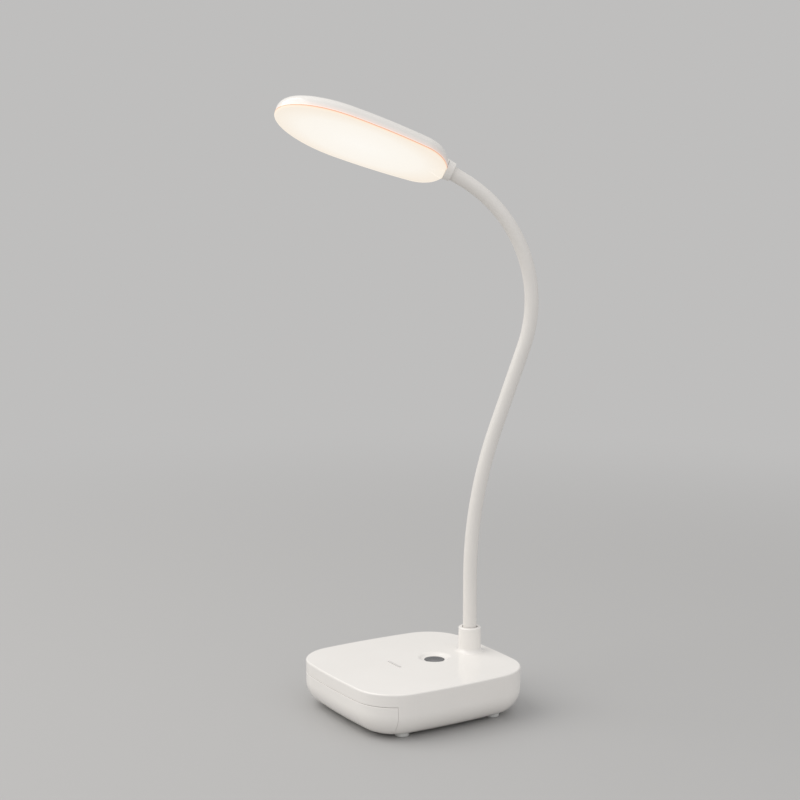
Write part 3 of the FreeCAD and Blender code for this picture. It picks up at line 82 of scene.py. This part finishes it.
# ---------------------------------------------------------------- colours and light
GLOSSY_WHITE = (0.85, 0.82, 0.785)
SLEEVE_WHITE = (0.79, 0.76, 0.725)
MILKY_WHITE = (0.66, 0.64, 0.62)
RUBBER_WHITE = (0.68, 0.68, 0.66)
DIFFUSER_WHITE = (0.30, 0.29, 0.27)
# Painted reflection: the disc's metal colour is darkened to stand in for dark surroundings mirrored in its chrome.
DISC_METAL_PAINTED_DARK = (0.25, 0.25, 0.26)

# The part of a noise's range over which a roughness or a colour goes from one end to the other.
ROUGHNESS_BAND = (0.3, 0.7)
COLOUR_BAND = (0.35, 0.65)

# The lit head: positions and colours from the seam up the cover, from the middle of the diffuser
# out to its rim, and from the diffuser's face up to the seam.
DIFFUSER_GLOW = 0.80
COVER_GLOW_STEPS = [(0.0, (0.30, 0.10, 0.045)), (0.35, (0.09, 0.028, 0.014)), (1.0, (0.0, 0.0, 0.0))]
MIDDLE_GLOW_STEPS = [(0.0, (1.0, 0.97, 0.91)), (0.7, (0.98, 0.93, 0.85)), (1.0, (0.94, 0.84, 0.72))]
EDGE_GLOW_STEPS = [(0.05, (1.0, 1.0, 1.0)), (0.60, (1.0, 0.90, 0.78)), (0.95, (0.92, 0.37, 0.16))]
EDGE_BODY_STEPS = [(0.40, DIFFUSER_WHITE), (0.95, (0.22, 0.08, 0.04))]

# Slot: colour and roughness.
SATIN_SLOTS = {
    "inner_white": ((0.80, 0.80, 0.785), 0.4),
    "lead_insulation": ((0.55, 0.06, 0.05), 0.4),
    "circuit_board": ((0.03, 0.22, 0.09), 0.35),
    "chip_black": ((0.03, 0.03, 0.032), 0.5),
    "cell_can": ((0.12, 0.30, 0.55), 0.3),
    "led_board_metal": ((0.80, 0.80, 0.79), 0.35),
    "led_phosphor": ((0.85, 0.70, 0.25), 0.4),
}
METAL_SLOTS = {
    "bright_steel": ((0.62, 0.62, 0.63), 0.28),
    "hose_steel": ((0.45, 0.45, 0.46), 0.38),
}

FLOOR_HALF = 8.0
FLOOR_COLOUR = (0.46, 0.455, 0.45)
FLOOR_ROUGHNESS = 0.6
FADE_START = 0.30
FADE_END = 1.1
BACKGROUND = (0.52, 0.515, 0.51)
SKY_LIGHT = (0.66, 0.66, 0.66)

# Name, place, width and height, power in watts, colour.
LAMPS = [
    ("key", (-0.60, -1.15, 1.50), (2.0, 2.0), 23.5, (1.0, 0.985, 0.96)),
    ("side", (1.6, -0.1, 1.2), (2.2, 2.2), 7.0, (0.97, 0.98, 1.0)),
]
LAMP_AIM = Vector((0, 0, 0.12))

# ---------------------------------------------------------------- neck path
FORWARD = Vector((-math.sin(NECK_YAW), -math.cos(NECK_YAW), 0))
SIDEWAYS = Vector((math.cos(NECK_YAW), -math.sin(NECK_YAW), 0))
NECK_RUNS = [
    (NECK_RISE - NECK_START, 0.0),
    (LEAN_RADIUS * LEAN_ANGLE, -LEAN_ANGLE),
    (LEAN_RUN, 0.0),
    (CROOK_RADIUS * CROOK_ANGLE, CROOK_ANGLE),
    (END_RUN, 0.0),
]
NECK_LENGTH = sum(length for length, turn in NECK_RUNS)


def neck_at(distance):
    """Point and unit direction of the neck's centre line at a distance from its start."""
    forward, up, lean = 0.0, NECK_START, 0.0
    for index, (length, turn) in enumerate(NECK_RUNS):
        last = index == len(NECK_RUNS) - 1
        along = distance if last else min(distance, length)
        if turn:
            radius = length / turn
            new_lean = lean + along / radius
            forward += radius * (math.cos(lean) - math.cos(new_lean))
            up += radius * (math.sin(new_lean) - math.sin(lean))
            lean = new_lean
        else:
            forward += math.sin(lean) * along
            up += math.cos(lean) * along
        distance -= along
        if distance <= 0:
            break
    point = Vector((0, COLLAR_Y, up)) + FORWARD * forward
    return point, FORWARD * math.sin(lean) + Vector((0, 0, math.cos(lean)))


def head_plane():
    """A point in the plane where the diffuser meets the cover, and the direction square to it."""
    point, direction = neck_at(NECK_LENGTH)
    across = SIDEWAYS.cross(direction)
    neck_up = across * -math.cos(NECK_YAW) - SIDEWAYS * math.sin(NECK_YAW)
    up_axis = neck_up * math.cos(HEAD_PITCH) + direction * math.sin(HEAD_PITCH)
    return point - up_axis * HEAD_AXIS_HEIGHT, up_axis


def head_forward():
    """The direction of the head's length in that plane, from the neck to the tip."""
    direction = neck_at(NECK_LENGTH)[1]
    up_axis = head_plane()[1]
    return (direction - up_axis * direction.dot(up_axis)).normalized()


# ---------------------------------------------------------------- mesh helpers
def new_piece(name, points, faces, material):
    """A mesh object of the given points and faces, smooth, with one material."""
    mesh = bpy.data.meshes.new(name)
    mesh.from_pydata([tuple(point) for point in points], [], faces)
    mesh.update()
    piece = bpy.data.objects.new(name, mesh)
    bpy.context.scene.collection.objects.link(piece)
    mesh.materials.append(material)
    mesh.polygons.foreach_set("use_smooth", [True] * len(mesh.polygons))
    return piece


def loop_faces(rings, sides):
    """Quads between rings of equal size, with the last ring joined to the first."""
    faces = []
    for ring in range(rings):
        here = ring * sides
        there = ((ring + 1) % rings) * sides
        for side in range(sides):
            after = (side + 1) % sides
            faces.append((here + side, here + after, there + after, there + side))
    return faces


def sharpen(piece, limit):
    """Marks the edges that turn more than an angle as sharp."""
    mesh = bmesh.new()
    mesh.from_mesh(piece.data)
    for edge in mesh.edges:
        if len(edge.link_faces) == 2 and edge.calc_face_angle() > limit:
            edge.smooth = False
    mesh.to_mesh(piece.data)
    mesh.free()


# ---------------------------------------------------------------- material helpers
def new_material(name, colour, roughness, metallic=0.0):
    """A Principled material with its constant values set on the shader."""
    material = bpy.data.materials.new(name)
    material.use_nodes = True
    shader = material.node_tree.nodes["Principled BSDF"]
    shader.inputs["Base Color"].default_value = (*colour, 1.0)
    shader.inputs["Roughness"].default_value = roughness
    shader.inputs["Metallic"].default_value = metallic
    return material, shader


def add_noise(tree, scale, detail, stretch):
    """The value of a noise texture in object coordinates."""
    place = tree.nodes.new("ShaderNodeTexCoord")
    mapping = tree.nodes.new("ShaderNodeMapping")
    mapping.inputs["Scale"].default_value = stretch
    noise = tree.nodes.new("ShaderNodeTexNoise")
    noise.inputs["Scale"].default_value = scale
    noise.inputs["Detail"].default_value = detail
    tree.links.new(place.outputs["Object"], mapping.inputs["Vector"])
    tree.links.new(mapping.outputs["Vector"], noise.inputs["Vector"])
    return noise.outputs["Fac"]


def vary_roughness(material, shader, low, high, scale, detail=3.0, stretch=(1, 1, 1)):
    """Roughness that wanders between two values."""
    tree = material.node_tree
    noise = add_noise(tree, scale, detail, stretch)
    spread = tree.nodes.new("ShaderNodeMapRange")
    spread.inputs["From Min"].default_value = ROUGHNESS_BAND[0]
    spread.inputs["From Max"].default_value = ROUGHNESS_BAND[1]
    spread.inputs["To Min"].default_value = low
    spread.inputs["To Max"].default_value = high
    tree.links.new(noise, spread.inputs["Value"])
    tree.links.new(spread.outputs["Result"], shader.inputs["Roughness"])


def shifted(colour, amount):
    """A colour made lighter, or darker where the amount is negative."""
    return tuple(min(1.0, share + amount) for share in colour)


def vary_colour(material, shader, low, high, scale, detail=3.0):
    """Base colour that wanders between two close colours."""
    tree = material.node_tree
    noise = add_noise(tree, scale, detail, (1, 1, 1))
    blended = colour_steps(material, noise, [(COLOUR_BAND[0], low), (COLOUR_BAND[1], high)])
    tree.links.new(blended, shader.inputs["Base Color"])


def add_bump(material, shader, depth, strength, scale, detail=3.0, stretch=(1, 1, 1)):
    """Fine relief from a noise."""
    tree = material.node_tree
    noise = add_noise(tree, scale, detail, stretch)
    bump = tree.nodes.new("ShaderNodeBump")
    bump.inputs["Distance"].default_value = depth
    bump.inputs["Strength"].default_value = strength
    tree.links.new(noise, bump.inputs["Height"])
    tree.links.new(bump.outputs["Normal"], shader.inputs["Normal"])


def colour_steps(material, share, steps):
    """A colour for each share from 0 to 1, from a list of positions and colours."""
    ramp = material.node_tree.nodes.new("ShaderNodeValToRGB")
    elements = ramp.color_ramp.elements
    elements[0].position, elements[0].color = steps[0][0], (*steps[0][1], 1.0)
    elements[1].position, elements[1].color = steps[-1][0], (*steps[-1][1], 1.0)
    for position, colour in steps[1:-1]:
        elements.new(position).color = (*colour, 1.0)
    material.node_tree.links.new(share, ramp.inputs["Fac"])
    return ramp.outputs["Color"]


def height_on_head(material, low, high):
    """0 to 1 over a range of heights above the plane where the diffuser meets the cover."""
    tree = material.node_tree
    seam_point, up_axis = head_plane()
    place = tree.nodes.new("ShaderNodeTexCoord")
    height = tree.nodes.new("ShaderNodeVectorMath")
    height.operation = "DOT_PRODUCT"
    height.inputs[1].default_value = up_axis
    spread = tree.nodes.new("ShaderNodeMapRange")
    spread.inputs["From Min"].default_value = seam_point.dot(up_axis) + low
    spread.inputs["From Max"].default_value = seam_point.dot(up_axis) + high
    tree.links.new(place.outputs["Object"], height.inputs[0])
    tree.links.new(height.outputs["Value"], spread.inputs["Value"])
    return spread.outputs["Result"]


def from_head_middle(material):
    """0 at the middle of the diffuser, 1 at the rim of the ellipse that it fills."""
    tree = material.node_tree
    rear, up_axis = head_plane()
    forward = head_forward()
    place = tree.nodes.new("ShaderNodeTexCoord")
    shift = tree.nodes.new("ShaderNodeVectorMath")
    shift.operation = "SUBTRACT"
    shift.inputs[1].default_value = rear + forward * (HEAD_LENGTH / 2)
    tree.links.new(place.outputs["Object"], shift.inputs[0])
    joined = tree.nodes.new("ShaderNodeCombineXYZ")
    axes = (forward / (HEAD_LENGTH / 2), up_axis.cross(forward) / (HEAD_WIDTH / 2))
    for index, axis in enumerate(axes):
        along = tree.nodes.new("ShaderNodeVectorMath")
        along.operation = "DOT_PRODUCT"
        along.inputs[1].default_value = axis
        tree.links.new(shift.outputs["Vector"], along.inputs[0])
        tree.links.new(along.outputs["Value"], joined.inputs[index])
    length = tree.nodes.new("ShaderNodeVectorMath")
    length.operation = "LENGTH"
    tree.links.new(joined.outputs["Vector"], length.inputs[0])
    return length.outputs["Value"]


# ---------------------------------------------------------------- materials
def glossy_white(name):
    """Moulded glossy white plastic with a faint orange-peel surface."""
    material, shader = new_material(name, GLOSSY_WHITE, 0.12)
    shader.inputs["IOR"].default_value = 1.5
    darker, lighter = shifted(GLOSSY_WHITE, -0.01), shifted(GLOSSY_WHITE, 0.01)
    vary_roughness(material, shader, low=0.09, high=0.17, scale=45.0)
    vary_colour(material, shader, darker, lighter, scale=18.0, detail=2.0)
    add_bump(material, shader, depth=0.02 * MM, strength=0.35, scale=420.0, detail=2.0)
    return material


def leave_out_of_light_sampling(material):
    """Lets a glow be found by chance rays only, since aiming rays at its many faces adds noise."""
    material.cycles.emission_sampling = "NONE"


def glowing_cover():
    """The glossy white of the head's cover, with the lamp's light bleeding through its lower edge."""
    material = glossy_white("glowing_cover")
    leave_out_of_light_sampling(material)
    shader = material.node_tree.nodes["Principled BSDF"]
    shader.inputs["Emission Strength"].default_value = 1.0
    glow = colour_steps(material, height_on_head(material, 0.0, COVER_GLOW), COVER_GLOW_STEPS)
    material.node_tree.links.new(glow, shader.inputs["Emission Color"])
    return material


def glowing_diffuser():
    """Milky diffuser lit from behind: warm white, amber where its edge meets the cover."""
    material, shader = new_material("glowing_diffuser", DIFFUSER_WHITE, 0.35)
    shader.inputs["Emission Strength"].default_value = DIFFUSER_GLOW
    leave_out_of_light_sampling(material)
    edge = height_on_head(material, -DIFFUSER_DEPTH, 0.0)
    middle = from_head_middle(material)
    tree = material.node_tree
    tint = tree.nodes.new("ShaderNodeMix")
    tint.data_type = "RGBA"
    tint.blend_type = "MULTIPLY"
    tint.inputs["Factor"].default_value = 1.0
    tree.links.new(colour_steps(material, middle, MIDDLE_GLOW_STEPS), tint.inputs["A"])
    tree.links.new(colour_steps(material, edge, EDGE_GLOW_STEPS), tint.inputs["B"])
    tree.links.new(tint.outputs["Result"], shader.inputs["Emission Color"])
    tree.links.new(colour_steps(material, edge, EDGE_BODY_STEPS), shader.inputs["Base Color"])
    add_bump(material, shader, depth=0.02 * MM, strength=0.25, scale=900.0, detail=2.0)
    return material


def satin_plastic(name, colour, roughness):
    """Satin moulded plastic with a fine spark-eroded grain."""
    material, shader = new_material(name, colour, roughness)
    vary_colour(material, shader, colour, shifted(colour, 0.015), scale=25.0)
    vary_roughness(material, shader, low=roughness - 0.05, high=roughness + 0.05, scale=60.0)
    add_bump(material, shader, depth=0.03 * MM, strength=0.4, scale=2600.0, detail=2.0)
    return material


def soft_sleeve():
    """Soft white vinyl: satin, with a very fine grain."""
    material, shader = new_material("soft_sleeve", SLEEVE_WHITE, 0.42)
    darker, lighter = shifted(SLEEVE_WHITE, -0.01), shifted(SLEEVE_WHITE, 0.01)
    vary_colour(material, shader, darker, lighter, scale=22.0)
    vary_roughness(material, shader, low=0.36, high=0.48, scale=80.0)
    add_bump(material, shader, depth=0.02 * MM, strength=0.15, scale=500.0, detail=2.0)
    return material


def milky_pipe():
    """Milky light pipe, unlit."""
    material, shader = new_material("milky_pipe", MILKY_WHITE, 0.16)
    darker, lighter = shifted(MILKY_WHITE, -0.02), shifted(MILKY_WHITE, 0.02)
    vary_colour(material, shader, darker, lighter, scale=90.0)
    vary_roughness(material, shader, low=0.13, high=0.20, scale=200.0)
    return material


def soft_rubber():
    """Clear-white silicone of the feet."""
    material, shader = new_material("soft_rubber", RUBBER_WHITE, 0.42)
    darker, lighter = shifted(RUBBER_WHITE, -0.03), shifted(RUBBER_WHITE, 0.03)
    vary_colour(material, shader, darker, lighter, scale=120.0)
    vary_roughness(material, shader, low=0.36, high=0.48, scale=200.0)
    add_bump(material, shader, depth=0.03 * MM, strength=0.3, scale=1200.0)
    return material


def polished_metal_painted_dark():
    """Turned and polished disc, whose fine rings draw highlights out along its radius; its metal colour is
    darkened as a painted dark reflection.
    """
    material, shader = new_material("polished_metal_painted_dark", DISC_METAL_PAINTED_DARK, 0.20, 1.0)
    shader.inputs["Anisotropic"].default_value = 0.8
    rings = material.node_tree.nodes.new("ShaderNodeTangent")
    rings.direction_type = "RADIAL"
    rings.axis = "Z"
    material.node_tree.links.new(rings.outputs["Tangent"], shader.inputs["Tangent"])
    vary_roughness(material, shader, low=0.16, high=0.24, scale=300.0, detail=4.0)
    return material


def plated_metal(name, colour, roughness):
    """Plain drawn or plated metal, with marks drawn out along its height."""
    material, shader = new_material(name, colour, roughness, 1.0)
    low, high = roughness - 0.08, roughness + 0.1
    vary_roughness(material, shader, low, high, scale=700.0, detail=4.0, stretch=(1, 1, 0.1))
    add_bump(material, shader, depth=0.01 * MM, strength=0.4, scale=1500.0, stretch=(1, 1, 0.05))
    return material


def finish_nodes():
    """Gives every carried-over CAD node its finish."""
    finishes = {
        "housing_white": glossy_white("glossy_white"),
        "neck_white": soft_sleeve(),
        "milky_diffuser": milky_pipe(),
        "polished_disc": polished_metal_painted_dark(),
        "foot_rubber": soft_rubber(),
    }
    for slot, (colour, roughness) in SATIN_SLOTS.items():
        finishes[slot] = satin_plastic(slot, colour, roughness)
    for slot, (colour, roughness) in METAL_SLOTS.items():
        finishes[slot] = plated_metal(slot, colour, roughness)
    slots = {part["node"]: part["material_slot"] for part in frame["record"]["subparts"]}
    for name, node in nodes.items():
        node.data.materials.clear()
        node.data.materials.append(finishes[slots[name]])
    nodes["diffuser"].data.materials[0] = glowing_diffuser()
    nodes["head_cover"].data.materials[0] = glowing_cover()
    return finishes


# ---------------------------------------------------------------- gooseneck sleeve
def sleeve_piece(index, low, high, material):
    """A stretch of the sleeve across one joint, as a smooth hollow tube."""
    steps = max(2, round((high - low) / SLEEVE_STEP))
    stations = [low + (high - low) * step / steps for step in range(steps + 1)]
    profile = [(station, SLEEVE_RADIUS) for station in stations]
    profile += [(station, SLEEVE_BORE_RADIUS) for station in reversed(stations)]
    points = []
    for distance, radius in profile:
        middle, direction = neck_at(distance)
        across = SIDEWAYS.cross(direction)
        for side in range(SLEEVE_SIDES):
            angle = 2 * math.pi * side / SLEEVE_SIDES
            beside = SIDEWAYS * (radius * math.cos(angle))
            above = across * (radius * math.sin(angle))
            points.append(middle + beside + above)
    faces = loop_faces(len(profile), SLEEVE_SIDES)
    piece = new_piece("sleeve_%d" % index, points, faces, material)
    sharpen(piece, SHARP_TURN)
    return piece


def gooseneck(material):
    """The whole sleeve: one piece across each joint, from mid-section to mid-section."""
    bends = [joint for joint in frame["joints"] if joint["name"].startswith("neck_")]
    for index, joint in enumerate(bends):
        last = index == len(bends) - 1
        pivot = JOINT_FIRST + JOINT_PITCH * index
        low = pivot - JOINT_PITCH / 2 if index else 0.0
        high = NECK_LENGTH + SLEEVE_INSERTION if last else pivot + JOINT_PITCH / 2
        piece = sleeve_piece(index, low, high, material)
        start = neck_at(pivot - JOINT_PITCH / 2)[0]
        end = neck_at(pivot + JOINT_PITCH / 2)[0]
        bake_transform(piece)
        replaced = ["neck_sleeve_%d" % index]
        if last:
            replaced.append("neck_sleeve_%d" % (index + 1))
        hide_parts(*replaced)


# ---------------------------------------------------------------- studio
def studio_camera():
    """The camera at the photograph's place."""
    data = bpy.data.cameras.new("camera")
    data.sensor_width = CAMERA_SENSOR
    data.lens = CAMERA_LENS
    data.clip_start = CAMERA_NEAR
    camera = bpy.data.objects.new("camera", data)
    bpy.context.scene.collection.objects.link(camera)
    level = math.cos(CAMERA_DIP)
    left, ahead = math.sin(CAMERA_AZIMUTH) * level, math.cos(CAMERA_AZIMUTH) * level
    look = Vector((-left, ahead, -math.sin(CAMERA_DIP)))
    camera.location = CAMERA_PLACE
    camera.rotation_euler = look.to_track_quat("-Z", "Y").to_euler()
    bpy.context.scene.camera = camera


def area_light(name, place, size, power, colour):
    """A soft box aimed at the lamp."""
    data = bpy.data.lights.new(name, "AREA")
    data.shape = "RECTANGLE"
    data.size, data.size_y = size
    data.energy = power
    data.color = colour
    lamp = bpy.data.objects.new(name, data)
    bpy.context.scene.collection.objects.link(lamp)
    lamp.location = place
    lamp.rotation_euler = (LAMP_AIM - Vector(place)).to_track_quat("-Z", "Y").to_euler()


def seen_directly(tree):
    """1 for rays of the camera and of mirrors or glass, 0 for rays that carry light about."""
    path = tree.nodes.new("ShaderNodeLightPath")
    seen = path.outputs["Is Camera Ray"]
    for kind in ("Is Glossy Ray", "Is Transmission Ray"):
        larger = tree.nodes.new("ShaderNodeMath")
        larger.operation = "MAXIMUM"
        tree.links.new(seen, larger.inputs[0])
        tree.links.new(path.outputs[kind], larger.inputs[1])
        seen = larger.outputs[0]
    return seen


def fading_floor():
    """Pale floor material that fades into the pale background away from the lamp."""
    material, shader = new_material("studio_floor", FLOOR_COLOUR, FLOOR_ROUGHNESS)
    tree = material.node_tree
    place = tree.nodes.new("ShaderNodeTexCoord")
    away = tree.nodes.new("ShaderNodeVectorMath")
    away.operation = "LENGTH"
    fade = tree.nodes.new("ShaderNodeMapRange")
    fade.interpolation_type = "SMOOTHSTEP"
    fade.inputs["From Min"].default_value = FADE_START
    fade.inputs["From Max"].default_value = FADE_END
    share = tree.nodes.new("ShaderNodeMath")
    share.operation = "MULTIPLY"
    pale = tree.nodes.new("ShaderNodeEmission")
    pale.inputs["Color"].default_value = (*BACKGROUND, 1.0)
    mix = tree.nodes.new("ShaderNodeMixShader")
    tree.links.new(place.outputs["Object"], away.inputs[0])
    tree.links.new(away.outputs["Value"], fade.inputs["Value"])
    tree.links.new(fade.outputs["Result"], share.inputs[0])
    tree.links.new(seen_directly(tree), share.inputs[1])
    tree.links.new(share.outputs[0], mix.inputs["Fac"])
    tree.links.new(shader.outputs["BSDF"], mix.inputs[1])
    tree.links.new(pale.outputs["Emission"], mix.inputs[2])
    tree.links.new(mix.outputs["Shader"], tree.nodes["Material Output"].inputs["Surface"])
    return material


def studio_floor():
    """A wide square floor under the lamp."""
    mesh = bpy.data.meshes.new("floor")
    corners = [(-FLOOR_HALF, -FLOOR_HALF, 0), (FLOOR_HALF, -FLOOR_HALF, 0),
               (FLOOR_HALF, FLOOR_HALF, 0), (-FLOOR_HALF, FLOOR_HALF, 0)]
    mesh.from_pydata(corners, [], [(0, 1, 2, 3)])
    mesh.materials.append(fading_floor())
    floor = bpy.data.objects.new("floor", mesh)
    bpy.context.scene.collection.objects.link(floor)


def studio_world():
    """Even surroundings: soft light for the object, a pale background for the camera and mirrors."""
    world = bpy.data.worlds.new("world")
    world.use_nodes = True
    tree = world.node_tree
    light = tree.nodes["Background"]
    light.inputs["Color"].default_value = (*SKY_LIGHT, 1.0)
    seen = tree.nodes.new("ShaderNodeBackground")
    seen.inputs["Color"].default_value = (*BACKGROUND, 1.0)
    mix = tree.nodes.new("ShaderNodeMixShader")
    tree.links.new(seen_directly(tree), mix.inputs["Fac"])
    tree.links.new(light.outputs["Background"], mix.inputs[1])
    tree.links.new(seen.outputs["Background"], mix.inputs[2])
    tree.links.new(mix.outputs["Shader"], tree.nodes["World Output"].inputs["Surface"])
    bpy.context.scene.world = world


def studio_lamps():
    """A large soft key from the front left and a weak cool one from the right."""
    for name, place, size, power, colour in LAMPS:
        area_light(name, place, size, power, colour)


# ---------------------------------------------------------------- the scene
finishes = finish_nodes()
gooseneck(finishes["neck_white"])
studio_camera()
studio_floor()
studio_world()
studio_lamps()
bpy.context.scene.view_settings.view_transform = "Standard"
